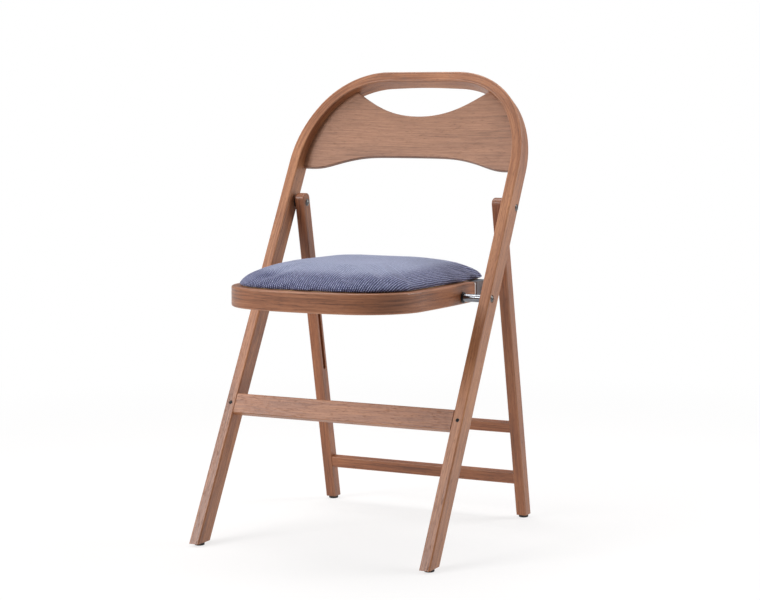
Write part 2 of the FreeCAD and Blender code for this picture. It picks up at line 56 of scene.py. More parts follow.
# ---------------------------------------------------------------------------
# small node-graph helper: python arithmetic that builds Math nodes
# ---------------------------------------------------------------------------
class Val:
    def __init__(self, tree, socket):
        self.t, self.s = tree, socket

    def op(self, name, *others, clamp=False):
        n = self.t.nodes.new("ShaderNodeMath")
        n.operation = name
        n.use_clamp = clamp
        for i, v in enumerate((self,) + others):
            if isinstance(v, Val):
                self.t.links.new(v.s, n.inputs[i])
            else:
                n.inputs[i].default_value = float(v)
        return Val(self.t, n.outputs[0])

    def __add__(self, o):
        return self.op("ADD", o)

    __radd__ = __add__

    def __sub__(self, o):
        return self.op("SUBTRACT", o)

    def __rsub__(self, o):
        return self.op("MULTIPLY_ADD", -1.0, o)

    def __mul__(self, o):
        return self.op("MULTIPLY", o)

    __rmul__ = __mul__

    def __truediv__(self, o):
        return self.op("DIVIDE", o)

    def __neg__(self):
        return self.op("MULTIPLY", -1.0)

    def mad(self, a, b):
        return self.op("MULTIPLY_ADD", a, b)

    def abs(self):
        return self.op("ABSOLUTE")

    def sqrt(self):
        return self.op("SQRT")

    def sin(self):
        return self.op("SINE")

    def cos(self):
        return self.op("COSINE")

    def power(self, e):
        return self.op("POWER", e)

    def min(self, o):
        return self.op("MINIMUM", o)

    def max(self, o):
        return self.op("MAXIMUM", o)

    def gt(self, o):
        return self.op("GREATER_THAN", o)

    def lt(self, o):
        return self.op("LESS_THAN", o)

    def floor(self):
        return self.op("FLOOR")

    def clamp(self):
        return self.op("ADD", 0.0, clamp=True)

    def smooth(self, a, b, lo=0.0, hi=1.0):
        n = self.t.nodes.new("ShaderNodeMapRange")
        n.interpolation_type = "SMOOTHSTEP"
        self.t.links.new(self.s, n.inputs["Value"])
        n.inputs["From Min"].default_value = a
        n.inputs["From Max"].default_value = b
        n.inputs["To Min"].default_value = lo
        n.inputs["To Max"].default_value = hi
        return Val(self.t, n.outputs[0])


def pick(cond, a, b):
    """cond ? a : b with cond 0 or 1."""
    if not isinstance(a, Val):
        a = cond * 0.0 + a
    return b + cond * (a - b)


def atan2(y, x):
    return y.op("ARCTAN2", x)


def hyp(x, y):
    return (x * x + y * y).sqrt()


class Mat:
    def __init__(self, name):
        self.m = bpy.data.materials.new(name)
        self.m.use_nodes = True
        self.t = self.m.node_tree
        self.t.nodes.clear()
        self.out = self.t.nodes.new("ShaderNodeOutputMaterial")
        self.b = self.t.nodes.new("ShaderNodeBsdfPrincipled")
        self.t.links.new(self.b.outputs[0], self.out.inputs[0])

    def new(self, kind):
        return self.t.nodes.new(kind)

    def link(self, a, b):
        self.t.links.new(a.s if isinstance(a, Val) else a, b)

    def coords(self):
        tc = self.new("ShaderNodeTexCoord")
        sp = self.new("ShaderNodeSeparateXYZ")
        self.t.links.new(tc.outputs["Object"], sp.inputs[0])
        return [Val(self.t, sp.outputs[i]) for i in range(3)]

    def attr(self, name):
        a = self.new("ShaderNodeAttribute")
        a.attribute_name = name
        sp = self.new("ShaderNodeSeparateXYZ")
        self.t.links.new(a.outputs["Vector"], sp.inputs[0])
        return [Val(self.t, sp.outputs[i]) for i in range(3)]

    def vec(self, x, y, z):
        n = self.new("ShaderNodeCombineXYZ")
        for i, v in enumerate((x, y, z)):
            if isinstance(v, Val):
                self.t.links.new(v.s, n.inputs[i])
            else:
                n.inputs[i].default_value = float(v)
        return n.outputs[0]

    def noise(self, x, y, z, detail=2.0, rough=0.5, distort=0.0):
        n = self.new("ShaderNodeTexNoise")
        n.noise_dimensions = "3D"
        self.t.links.new(self.vec(x, y, z), n.inputs["Vector"])
        n.inputs["Scale"].default_value = 1.0
        n.inputs["Detail"].default_value = detail
        n.inputs["Roughness"].default_value = rough
        n.inputs["Distortion"].default_value = distort
        return Val(self.t, n.outputs[0])

    def mix(self, fac, a, b, kind="MIX"):
        n = self.new("ShaderNodeMix")
        n.data_type = "RGBA"
        n.blend_type = kind
        n.clamp_factor = True
        for key, v in (("Factor_Float", fac), ("A_Color", a), ("B_Color", b)):
            sock = [i for i in n.inputs if i.identifier == key][0]
            if isinstance(v, Val):
                self.t.links.new(v.s, sock)
            elif isinstance(v, (tuple, list)):
                sock.default_value = tuple(v) + (1.0,)
            elif isinstance(v, (int, float)):
                sock.default_value = v
            else:
                self.t.links.new(v, sock)
        return [o for o in n.outputs if o.identifier == "Result_Color"][0]

    def ramp(self, fac, stops):
        n = self.new("ShaderNodeValToRGB")
        el = n.color_ramp.elements
        while len(el) > 1:
            el.remove(el[-1])
        el[0].position, el[0].color = stops[0][0], tuple(stops[0][1]) + (1.0,)
        for p, c in stops[1:]:
            e = el.new(p)
            e.color = tuple(c) + (1.0,)
        self.link(fac, n.inputs[0])
        return n.outputs[0]

    def bump(self, height, distance, strength=1.0, under=None):
        n = self.new("ShaderNodeBump")
        n.inputs["Strength"].default_value = strength
        n.inputs["Distance"].default_value = distance
        self.link(height, n.inputs["Height"])
        if under is not None:
            self.t.links.new(under, n.inputs["Normal"])
        return n.outputs[0]

    def set(self, **kw):
        names = {"metallic": "Metallic", "rough": "Roughness", "ior": "IOR", "spec": "Specular IOR Level",
                 "coat": "Coat Weight", "coat_rough": "Coat Roughness", "sheen": "Sheen Weight",
                 "sheen_rough": "Sheen Roughness", "aniso": "Anisotropic", "diffuse_rough": "Diffuse Roughness"}
        for k, v in kw.items():
            if k == "color":
                if isinstance(v, (tuple, list)):
                    self.b.inputs["Base Color"].default_value = tuple(v) + (1.0,)
                else:
                    self.link(v, self.b.inputs["Base Color"])
            elif k == "normal":
                self.t.links.new(v, self.b.inputs["Normal"])
            elif k == "sheen_tint":
                self.b.inputs["Sheen Tint"].default_value = tuple(v) + (1.0,)
            elif isinstance(v, Val):
                self.link(v, self.b.inputs[names[k]])
            else:
                self.b.inputs[names[k]].default_value = v
        return self


def lin(r, g, b):
    def f(c):
        c /= 255.0
        return c / 12.92 if c <= 0.04045 else ((c + 0.055) / 1.055) ** 2.4
    return (f(r), f(g), f(b))


# ---------------------------------------------------------------------------
# places in each member: along the grain, across it, and through its depth
# ---------------------------------------------------------------------------
def front_local(m):
    """x, depth behind the front face, distance along the leg."""
    x, y, z = m.coords()
    y = y - Y0
    d = y * math.cos(LEAN) - z * math.sin(LEAN)
    s = y * math.sin(LEAN) + z * math.cos(LEAN)
    return x, d, s


def rear_local(m):
    """x, depth from the middle of the leg, distance from the pivot."""
    x, y, z = m.coords()
    y, z = y - T_Y, z - T_Z
    d = y * math.cos(REAR) + z * math.sin(REAR)
    s = z * math.cos(REAR) - y * math.sin(REAR)
    return x, d, s


def seat_local(m):
    x, y, z = m.coords()
    y, z = y - P_Y, z - P_Z
    v = y * math.cos(TILT) - z * math.sin(TILT)
    w = y * math.sin(TILT) + z * math.cos(TILT)
    return x, v, w


def arch_places(m):
    """The bent strip: distance along it from the top, depth in from its outer face, depth behind its front."""
    x, d, s = front_local(m)
    r1, a1, r2 = 0.2055, math.radians(33.6), 0.1474
    c1 = (0.225 - r1, 0.7302)
    c2 = (c1[0] + (r1 - r2) * math.cos(a1), c1[1] + (r1 - r2) * math.sin(a1))
    ax = x.abs()
    sign = x.gt(0.0) * 2.0 - 1.0
    half = 0.0095
    u2, v2 = ax - c2[0], s - c2[1]
    u1, v1 = ax - c1[0], s - c1[1]
    ang2, ang1 = atan2(v2, u2), atan2(v1, u1)
    n_top, n_leg = ax.lt(c2[0]), s.lt(c1[1])
    n_corner = ang2.gt(a1)
    l_corner = c2[0] + (math.pi / 2 - a1) * (r2 - half)
    l_side = l_corner + a1 * (r1 - half)
    o = pick(n_corner, r2 - hyp(u2, v2), r1 - hyp(u1, v1))
    a = pick(n_corner, (math.pi / 2 - ang2) * (r2 - half) + c2[0], (a1 - ang1) * (r1 - half) + l_corner)
    o = pick(n_top, c2[1] + r2 - s, o)
    a = pick(n_top, ax, a)
    o = pick(n_leg, 0.225 - ax, o)
    a = pick(n_leg, (c1[1] - s) + l_side, a)
    return a * sign, o, d


def rim_places(m):
    """The bent rim: distance along it from the front, depth in from its outer face, height."""
    x, y, z = seat_local(m)
    rad = math.radians
    r1, a1, r2, a2, r3 = 0.511, rad(9.1), 0.108, rad(79.1), 2.058
    c1 = (0.0, -0.2631 + r1)
    c2 = (c1[0] + (r1 - r2) * math.sin(a1), c1[1] - (r1 - r2) * math.cos(a1))
    b = a1 + a2
    c3 = (c2[0] + (r2 - r3) * math.sin(b), c2[1] - (r2 - r3) * math.cos(b))
    ax = x.abs()
    sign = x.gt(0.0) * 2.0 - 1.0
    half = 0.011
    p1 = atan2(ax, c1[1] - y)
    p2 = atan2(ax - c2[0], c2[1] - y)
    p3 = atan2(ax - c3[0], c3[1] - y)
    front, side = p1.lt(a1), p2.gt(b)
    l1 = a1 * (r1 - half)
    l2 = l1 + a2 * (r2 - half)
    o = pick(side, r3 - hyp(ax - c3[0], y - c3[1]), r2 - hyp(ax - c2[0], y - c2[1]))
    a = pick(side, (p3 - b) * (r3 - half) + l2, (p2 - a1) * (r2 - half) + l1)
    o = pick(front, r1 - hyp(ax, y - c1[1]), o)
    a = pick(front, p1 * (r1 - half), a)
    return a * sign, o, z


# mask for the pale edge tone in wood(): partly edge wear, partly a painted highlight on the rounded edges
def edge_near(b, b0, b1, c, c0, c1, r=0.0034):
    """1 on the long rounded edges of a member whose section is b0..b1 by c0..c1."""
    eb = (b - b0).min(b1 - b)
    ec = (c - c0).min(c1 - c)
    return eb.max(ec).smooth(0.0004, r, 1.0, 0.0)


# ---------------------------------------------------------------------------
# stained and lacquered wood
# ---------------------------------------------------------------------------
TONE = {
    "deep": lin(106, 62, 38),
    "mid": lin(156, 100, 66),
    "pale": lin(187, 129, 89),
    "pore": lin(74, 44, 29),
    # the pale tone of the rounded edges: partly wear, partly a painted highlight
    "edge": lin(192, 142, 110),
    "end": lin(84, 52, 35),
}
PANEL_TONE = dict(TONE, deep=lin(94, 58, 38), mid=lin(133, 87, 61), pale=lin(163, 114, 84), pore=lin(62, 38, 26))
RIM_TONE = dict(TONE, deep=lin(92, 50, 28), mid=lin(146, 91, 58), pale=lin(174, 119, 84))
REAR_TONE = dict(TONE, deep=lin(96, 54, 32), mid=lin(145, 87, 53), pale=lin(172, 112, 72))


def wood(name, places, seed, edge=None, figure=1.0, rings=1.0, tint=None, pores=1.0, plies=None, ends=None,
         tones=TONE, rough=0.40, bump=1.0):
    m = Mat(name)
    a, b, c = places(m)
    sa, sb, sc = seed * 7.31, seed * 3.77, seed * 5.13
    # the fibres wander a little along the member
    drift = m.noise(a * 5.0 + sa, b * 18.0 + sb, c * 18.0, 1.0) - 0.5
    bb, cc = b + drift * 0.006, c + drift * 0.004
    # growth rings, cut nearly along the grain
    ring = (m.noise(a * 1.6 + sa, bb * 62.0 + sb, cc * 62.0 + sc, 2.0, 0.55, 0.4))
    band = ((ring * 34.0 + bb * 150.0).sin() * 0.5 + 0.5) * rings
    # streaks and short fibres
    streak = m.noise(a * 9.0 + sa, bb * 420.0 + sb, cc * 420.0 + sc, 3.0, 0.6)
    fibre = m.noise(a * 70.0 + sb, bb * 2100.0 + sa, cc * 2100.0, 2.0, 0.6)
    pore_n = m.noise(a * 95.0 + sc, bb * 1500.0 + sb, cc * 1500.0 + sa, 1.0, 0.5)
    pore = pore_n.smooth(0.60, 0.74) * pores
    blotch = m.noise(a * 6.0 + sc, b * 22.0 + sa, c * 22.0 + sb, 2.0, 0.5)
    line = m.noise(a * 22.0 + sb, bb * 900.0 + sc, cc * 900.0 + sa, 2.0, 0.6)
    tone = ((streak - 0.5) * (0.85 * figure) + (band - 0.5) * (0.10 * figure) + (line - 0.5) * (0.75 * figure)
            + (fibre - 0.5) * 0.40 + (blotch - 0.5) * 0.85 + 0.5)
    col = m.ramp(tone, [(0.12, tones["deep"]), (0.48, tones["mid"]), (0.86, tones["pale"])])
    col = m.mix(pore * 0.62, col, tones["pore"])
    if tint is not None:
        col = m.mix(tint[0], col, tint[1], tint[2])
    if plies is not None:
        col = m.mix(plies(m, a, b, c), col, tones["end"])
    # pale tone along the rounded edges, broken up by noise: partly lacquer wear, partly a painted highlight lip
    if edge is not None:
        e = edge(m, a, b, c)
        e = e * (m.noise(a * 30.0, b * 200.0 + sa, c * 200.0, 2.0, 0.6).smooth(0.2, 0.7, 0.45, 1.0))
        col = m.mix(e * 0.34, col, tones["edge"])
    if ends is not None:
        col = m.mix(ends(m, a, b, c), col, tones["end"])
    height = fibre * 0.35 + streak * 0.35 - pore * 0.9
    n = m.bump(height, 0.00016 * bump, 0.8)
    r = (streak - 0.5) * 0.16 + pore * 0.22 + (blotch - 0.5) * 0.10 + rough
    m.set(color=col, rough=r, normal=n, ior=1.5, coat=0.12, coat_rough=0.32, spec=0.5)
    return m.m


def assign(node, mat):
    o = nodes[node]
    o.data.materials.clear()
    o.data.materials.append(mat)
    o.data.polygons.foreach_set("material_index", np.zeros(len(o.data.polygons), np.int32))


def arch_edge(m, a, b, c):
    return edge_near(b, 0.0, 0.019, c, 0.0, 0.034)


wood_arch = wood("wood_arch", arch_places, 1.0, edge=arch_edge, figure=1.1)


def panel_places(m):
    x, d, s = front_local(m)
    t = d - (0.016 + (0.8 - s) * 0.08 + (1.0 - (x / 0.206) * (x / 0.206)) * 0.007)
    return x, s, t


# mask for the pale lip on the panel's rounded edges, a painted highlight
def panel_edge(m, a, b, c):
    return (c - 0.0).min(0.008 - c).smooth(0.0002, 0.0012, 1.0, 0.0)


def panel_ply(m, a, b, c):
    # laminations show only on the sawn edges, so they need the surface to face up or down
    g = m.new("ShaderNodeNewGeometry")
    sp = m.new("ShaderNodeSeparateXYZ")
    tf = m.new("ShaderNodeVectorTransform")
    tf.vector_type, tf.convert_from, tf.convert_to = "NORMAL", "WORLD", "OBJECT"
    m.t.links.new(g.outputs["True Normal"], tf.inputs[0])
    m.t.links.new(tf.outputs[0], sp.inputs[0])
    ny, nz = Val(m.t, sp.outputs[1]), Val(m.t, sp.outputs[2])
    along = (ny * math.sin(LEAN) + nz * math.cos(LEAN)).abs()
    lines = ((c * (2 * math.pi / 0.00267)).sin() * 0.5 + 0.5).smooth(0.35, 0.75)
    return along.smooth(0.5, 0.8) * lines * 0.55


wood_panel = wood("wood_panel", panel_places, 2.6, edge=panel_edge, figure=1.25, rings=0.8, pores=1.25, plies=panel_ply,
                  tones=PANEL_TONE)
assign("bent_frame", wood_arch)
assign("back_panel", wood_panel)


def stretcher_places(m):
    x, d, s = front_local(m)
    return x, s, d


wood_stretch = wood("wood_front_stretcher", stretcher_places, 3.9, pores=1.2,
                    edge=lambda m, a, b, c: edge_near(b, 0.2441, 0.2796, c, 0.0, 0.014, 0.0022))
assign("front_stretcher", wood_stretch)


def rear_leg_places(m):
    x, d, s = rear_local(m)
    return s, x, d


def rear_leg_edge(m, a, b, c):
    return edge_near(b.abs(), 0.1832, 0.20225, c, -0.0112, 0.0112, 0.003)


assign("rear_leg_right", wood("wood_rear_leg_right", rear_leg_places, 5.2, edge=rear_leg_edge, tones=REAR_TONE))
assign("rear_leg_left", wood("wood_rear_leg_left", rear_leg_places, 6.8, edge=rear_leg_edge, tones=REAR_TONE))


def rear_rail_places(m):
    x, d, s = rear_local(m)
    return x, s, d


assign("rear_upper_stretcher", wood("wood_rear_upper", rear_rail_places, 8.1, tones=REAR_TONE,
       edge=lambda m, a, b, c: edge_near(b, -0.4076, -0.3896, c, -0.0092, 0.0054, 0.0022)))
assign("rear_lower_stretcher", wood("wood_rear_lower", rear_rail_places, 9.7, tones=REAR_TONE,
       edge=lambda m, a, b, c: edge_near(b, -0.5036, -0.4834, c, -0.0092, 0.0054, 0.0022)))


def rim_edge(m, a, b, c):
    return edge_near(b, 0.0, 0.022, c, -0.0115, 0.0222)


assign("seat_rim", wood("wood_rim", rim_places, 11.3, edge=rim_edge, rough=0.42, tones=RIM_TONE))


def block_places(m):
    x, y, z = seat_local(m)
    return z, x, y


assign("seat_glue_blocks", wood("wood_blocks", block_places, 12.4, tones={
    "deep": lin(150, 112, 78), "mid": lin(186, 148, 108), "pale": lin(206, 172, 134), "pore": lin(120, 84, 56),
    "edge": lin(220, 190, 155), "end": lin(140, 104, 72)}, rough=0.62, bump=2.0))


def board_places(m):
    x, y, z = seat_local(m)
    return y, x, z


def board_ply(m, a, b, c):
    return ((c * (2 * math.pi / 0.0032)).sin() * 0.5 + 0.5).smooth(0.55, 0.9) * 0.4


assign("seat_board", wood("ply_board", board_places, 14.9, tones={
    "deep": lin(168, 132, 96), "mid": lin(200, 166, 126), "pale": lin(219, 190, 152), "pore": lin(140, 104, 72),
    "edge": lin(225, 200, 165), "end": lin(150, 112, 80)}, rough=0.66, bump=2.0, plies=None))


# ---------------------------------------------------------------------------
# metals, rubber and nylon
# ---------------------------------------------------------------------------
def metal(name, base, dark, rough=0.3, lines=0.0, axis=0, pit=0.2, metallic=1.0):
    m = Mat(name)
    x, y, z = m.coords()
    k = [x, y, z]
    stretch = [900.0, 900.0, 900.0]
    stretch[axis] = 2600.0 if lines else 900.0
    stain = m.noise(x * 160.0, y * 160.0, z * 160.0, 3.0, 0.6)
    fine = m.noise(k[0] * stretch[0], k[1] * stretch[1], k[2] * stretch[2], 2.0, 0.6)
    col = m.mix(stain.smooth(0.35, 0.75), base, dark)
    h = fine * 1.0 + stain * 0.4
    m.set(color=col, metallic=metallic, rough=(stain - 0.5) * 0.25 + (fine - 0.5) * 0.12 + rough,
          normal=m.bump(h, 0.00004 + 0.00004 * pit, 0.7))
    return m.m


def plastic(name, base, worn, rough=0.5, grain=900.0, depth=0.00006, spec=0.5):
    m = Mat(name)
    x, y, z = m.coords()
    n1 = m.noise(x * grain, y * grain, z * grain, 2.0, 0.6)
    n2 = m.noise(x * 120.0, y * 120.0, z * 120.0, 3.0, 0.6)
    col = m.mix(n2.smooth(0.42, 0.8) * 0.6 + n1 * 0.15, base, worn)
    m.set(color=col, rough=(n2 - 0.5) * 0.3 + (n1 - 0.5) * 0.1 + rough, spec=spec, normal=m.bump(n1, depth, 0.8))
    return m.m


bright = metal("steel_bright", (0.24, 0.25, 0.27), (0.13, 0.14, 0.16), rough=0.24, lines=1.0, axis=0)
plain = metal("steel_plain", (0.55, 0.55, 0.56), (0.34, 0.34, 0.36), rough=0.36)
nickel = metal("nickel_dark", (0.20, 0.195, 0.19), (0.11, 0.105, 0.10), rough=0.34)
saddle = metal("steel_saddle", (0.34, 0.35, 0.38), (0.22, 0.23, 0.26), rough=0.36)
black_screw = metal("screw_black", (0.035, 0.034, 0.034), (0.018, 0.018, 0.018), rough=0.42)
rubber = plastic("rubber_glide", lin(26, 26, 27), lin(52, 50, 48), rough=0.62)
nylon = plastic("nylon_black", lin(18, 18, 19), lin(38, 38, 40), rough=0.42)

for n in ("seat_pivot_tubes", "slot_pins"):
    assign(n, bright)
for n in ("front_glide_nails", "rear_glide_nails", "saddle_screws", "seat_board_screws", "seat_pivot_nuts"):
    assign(n, plain)
for n in ("rear_pivot_screws", "rear_pivot_barrel_nuts", "seat_pivot_screws"):
    assign(n, nickel)
assign("rear_saddle", saddle)
assign("front_stretcher_screws", black_screw)
for n in ("front_glides", "rear_glides"):
    assign(n, rubber)
for n in ("rear_pivot_washers", "rear_pivot_bushes", "seat_pivot_bushes", "slot_rollers"):
    assign(n, nylon)


# ---------------------------------------------------------------------------
# woven upholstery
# ---------------------------------------------------------------------------
def fabric(name):
    m = Mat(name)
    u, v, w = m.attr("weave")
    wob = m.noise(u * 45.0, v * 45.0, w * 0.0, 2.0, 0.6) - 0.5
    wob2 = m.noise(u * 45.0 + 31.0, v * 45.0, w * 0.0, 2.0, 0.6) - 0.5
    uu, vv = u + wob * 0.0030, v + wob2 * 0.0030
    p, q = 0.0040, 0.0034
    tau = 2 * math.pi
    rib = (uu * (tau / p)).cos() * 0.5 + 0.5
    cell = ((uu * (1.0 / p)) + 0.5).floor()
    st = (vv * (tau / q) + cell * (tau * 0.38) + uu * (tau / p) * 0.35).cos() * 0.5 + 0.5
    fuzz = m.noise(uu * 1500.0, vv * 1500.0, w * 0.0, 3.0, 0.7)
    slub = m.noise(uu * 330.0, vv * 120.0, w * 0.0, 2.0, 0.6)
    h = rib.power(0.8) * (st * 0.50 + 0.50) + (fuzz - 0.5) * 0.28
    # top marks the cover's crown, which is painted paler with a fainter weave: painted light from above
    top = w.smooth(0.034, 0.066)
    # the colour follows the weave's height, paler on the ribs and darker in the grooves, which is painted groove shade;
    # slub adds the yarn's own uneven tone
    yarn_tone_with_painted_light = h * (top * -0.40 + 1.02) + (slub - 0.5) * 0.95 + top * 0.28 - 0.10
    col = m.ramp(yarn_tone_with_painted_light, [(0.10, lin(34, 36, 66)), (0.36, lin(70, 74, 116)), (0.62, lin(122, 128, 168)), (0.95, lin(186, 190, 214))])
    large = m.noise(u * 9.0, v * 9.0, w * 0.0 + 3.0, 2.0, 0.5)
    col = m.mix(large.smooth(0.35, 0.7) * 0.16, col, lin(150, 154, 186))
    # painted light from above: the crown mixed toward pale blue
    col = m.mix(top * 0.44, col, lin(172, 180, 202))
    m.set(color=col, rough=(fuzz - 0.5) * 0.1 + 0.86, spec=0.25, sheen=0.55, sheen_rough=0.45, sheen_tint=lin(205, 208, 228),
          normal=m.bump(h, 0.0011, 0.9))
    return m.m


# ---------------------------------------------------------------------------
# the pad: closed crowned form, swelled by a cloth simulation, in the seat's own frame
# ---------------------------------------------------------------------------
R1, A1, R2, A2, R3 = 0.511, math.radians(9.1), 0.108, math.radians(79.1), 2.058
C1 = (0.0, -0.2631 + R1)
C2 = (C1[0] + (R1 - R2) * math.sin(A1), C1[1] - (R1 - R2) * math.cos(A1))
B2 = A1 + A2
C3 = (C2[0] + (R2 - R3) * math.sin(B2), C2[1] - (R2 - R3) * math.cos(B2))


def outline(inset, rear, r, n):
    """n points round the seat shape, counter-clockwise from the front middle: front bow, corners, sides, rear."""
    pts = []
    for k in range(40):
        t = A1 * k / 40
        pts.append((C1[0] + (R1 - inset) * math.sin(t), C1[1] - (R1 - inset) * math.cos(t)))
    for k in range(120):
        t = A1 + A2 * k / 120
        pts.append((C2[0] + (R2 - inset) * math.sin(t), C2[1] - (R2 - inset) * math.cos(t)))
    r3 = R3 - inset
    end = math.pi / 2 + math.asin((rear - r - C3[1]) / r3)
    for k in range(120):
        t = B2 + (end - B2) * k / 120
        pts.append((C3[0] + r3 * math.sin(t), C3[1] - r3 * math.cos(t)))
    px, py = C3[0] + r3 * math.sin(end), C3[1] - r3 * math.cos(end)
    for k in range(60):
        t = (math.pi / 2) * k / 60
        pts.append((px - r + r * math.cos(t), py + r * math.sin(t)))
    top = (px - r, rear)
    for k in range(60):
        pts.append((top[0] * (1 - k / 60), rear))
    pts.append((0.0, rear))
    pts += [(-x, y) for x, y in reversed(pts[1:-1])]
    p = np.array(pts)
    seg = np.linalg.norm(np.roll(p, -1, 0) - p, axis=1)
    cum = np.concatenate([[0], np.cumsum(seg)])
    q = np.vstack([p, p[:1]])
    at = np.linspace(0, cum[-1], n, endpoint=False)
    return np.stack([np.interp(at, cum, q[:, 0]), np.interp(at, cum, q[:, 1])], 1)


SEAT = Matrix.Translation((0, P_Y, P_Z)) @ Matrix.Rotation(-TILT, 4, "X")
LEVELS = [(0.0004, 0.0006), (0.0046, 0.0010), (0.0088, 0.0032), (0.0138, 0.0074), (0.0198, 0.0140), (0.0264, 0.0240),
          (0.0321, 0.0360), (0.0358, 0.0520), (0.0371, 0.0700), (0.0374, 0.088)]
PAD_INSET, PAD_REAR, PAD_FALL, PAD_CORNER, PAD_DROP = 0.0122, 0.144, 1.32, 0.013, 0.0046


def pad_start(shrink):
    n = 160
    bm = bmesh.new()
    rings = []
    for h, ins in LEVELS:
        rise = min(1.0, h / 0.024)
        i = PAD_INSET + ins + shrink * rise
        r = max(0.010, PAD_CORNER - ins * 0.1)
        pts = outline(i, PAD_REAR - ins * PAD_FALL - shrink * rise, r, n)
        z = RIM_HIGH + 0.0004 + (h - 0.0004) * (1.0 - PAD_DROP / 0.0374)
        rings.append([bm.verts.new((x, y, z)) for x, y in pts])
    # the crown goes on rising a little towards the middle
    last = np.array([v.co[:2] for v in rings[-1]])
    mid = last.mean(0)
    z_top = rings[-1][0].co.z
    for f, dz in ((0.66, 0.0008), (0.33, 0.0013)):
        rings.append([bm.verts.new((mid[0] + (x - mid[0]) * f, mid[1] + (y - mid[1]) * f, z_top + dz)) for x, y in last])
    for a, b in zip(rings, rings[1:]):
        for k in range(n):
            bm.faces.new((a[k], a[(k + 1) % n], b[(k + 1) % n], b[k]))
    c = bm.verts.new((mid[0], mid[1], z_top + 0.0014))
    for k in range(n):
        bm.faces.new((rings[-1][k], rings[-1][(k + 1) % n], c))
    bm.faces.new(list(reversed(rings[0])))
    me = bpy.data.meshes.new("seat_pad_cover")
    bm.normal_update()
    bm.to_mesh(me)
    bm.free()
    return me


def build_pad():
    me = pad_start(-0.0020)
    pad = bpy.data.objects.new("seat_pad_cover", me)
    scene.collection.objects.link(pad)
    bpy.context.view_layer.objects.active = pad
    pad.select_set(True)
    rm = pad.modifiers.new("Remesh", "REMESH")
    rm.mode = "VOXEL"
    rm.voxel_size = 0.005
    bpy.context.view_layer.update()
    bpy.ops.object.modifier_apply(modifier="Remesh")
    co = np.array([v.co for v in pad.data.vertices])
    floor = RIM_HIGH + 0.0022
    start = co.copy()
    held = pad.vertex_groups.new(name="held")
    held.add([int(k) for k in np.nonzero(co[:, 2] < floor)[0]], 1.0, "REPLACE")

    cl = pad.modifiers.new("Cloth", "CLOTH")
    s = cl.settings
    s.quality = 6
    s.mass = 0.35
    s.tension_stiffness = s.compression_stiffness = 22.0
    s.shear_stiffness = 12.0
    s.bending_stiffness = 2.5
    s.air_damping = 3.0
    s.use_pressure = True
    s.uniform_pressure_force = 4.0
    s.vertex_group_mass = "held"
    s.effector_weights.gravity = 0.0
    cl.collision_settings.use_collision = False
    cl.collision_settings.use_self_collision = False
    cl.point_cache.frame_start, cl.point_cache.frame_end = 1, 20
    for f in range(1, 21):
        scene.frame_set(f)
    bpy.context.view_layer.update()
    bpy.ops.object.modifier_apply(modifier="Cloth")
    scene.frame_set(1)
    now = np.array([v.co for v in pad.data.vertices])
    move = now - start
    size = np.linalg.norm(move, axis=1)
    print("pad: cloth moved points by", round(float(size.mean()) * 1000, 2), "mm mean,", round(float(size.max()) * 1000, 2), "mm at most")
    cap = 0.0075
    move *= (np.minimum(size, cap) / np.maximum(size, 1e-9))[:, None]
    co = start + move
    # even out the voxel steps without losing size
    ed = np.array([e.vertices[:] for e in pad.data.edges])
    deg = np.bincount(ed.ravel(), minlength=len(co)).astype(float)[:, None]
    for k in range(16):
        mean = np.zeros_like(co)
        np.add.at(mean, ed[:, 0], co[ed[:, 1]])
        np.add.at(mean, ed[:, 1], co[ed[:, 0]])
        co = co + (mean / deg - co) * (0.5 if k % 2 == 0 else -0.52)
    # never lower than the rim it rests on
    co[:, 2] = np.maximum(co[:, 2], RIM_HIGH + 0.0004)
    pad.data.vertices.foreach_set("co", co.astype(np.float32).ravel())
    pad.data.update()
    sub = pad.modifiers.new("Subdivision", "SUBSURF")
    sub.levels = sub.render_levels = 1
    bpy.context.view_layer.update()
    bpy.ops.object.modifier_apply(modifier="Subdivision")
    co = np.array([v.co for v in pad.data.vertices])
    co[:, 2] = np.maximum(co[:, 2], RIM_HIGH + 0.0003)
    pad.data.vertices.foreach_set("co", co.astype(np.float32).ravel())
    print("pad: crown", round(float(co[:, 2].max()) * 1000, 2), "mm, x", round(float(co[:, 0].max()) * 1000, 2), "y", round(float(co[:, 1].min()) * 1000, 2), round(float(co[:, 1].max()) * 1000, 2), "faces", len(pad.data.polygons))
    weave_places(pad, co)
    pad.data.transform(SEAT)
    pad.data.polygons.foreach_set("use_smooth", np.ones(len(pad.data.polygons), bool))
    pad.data.update()
    return pad


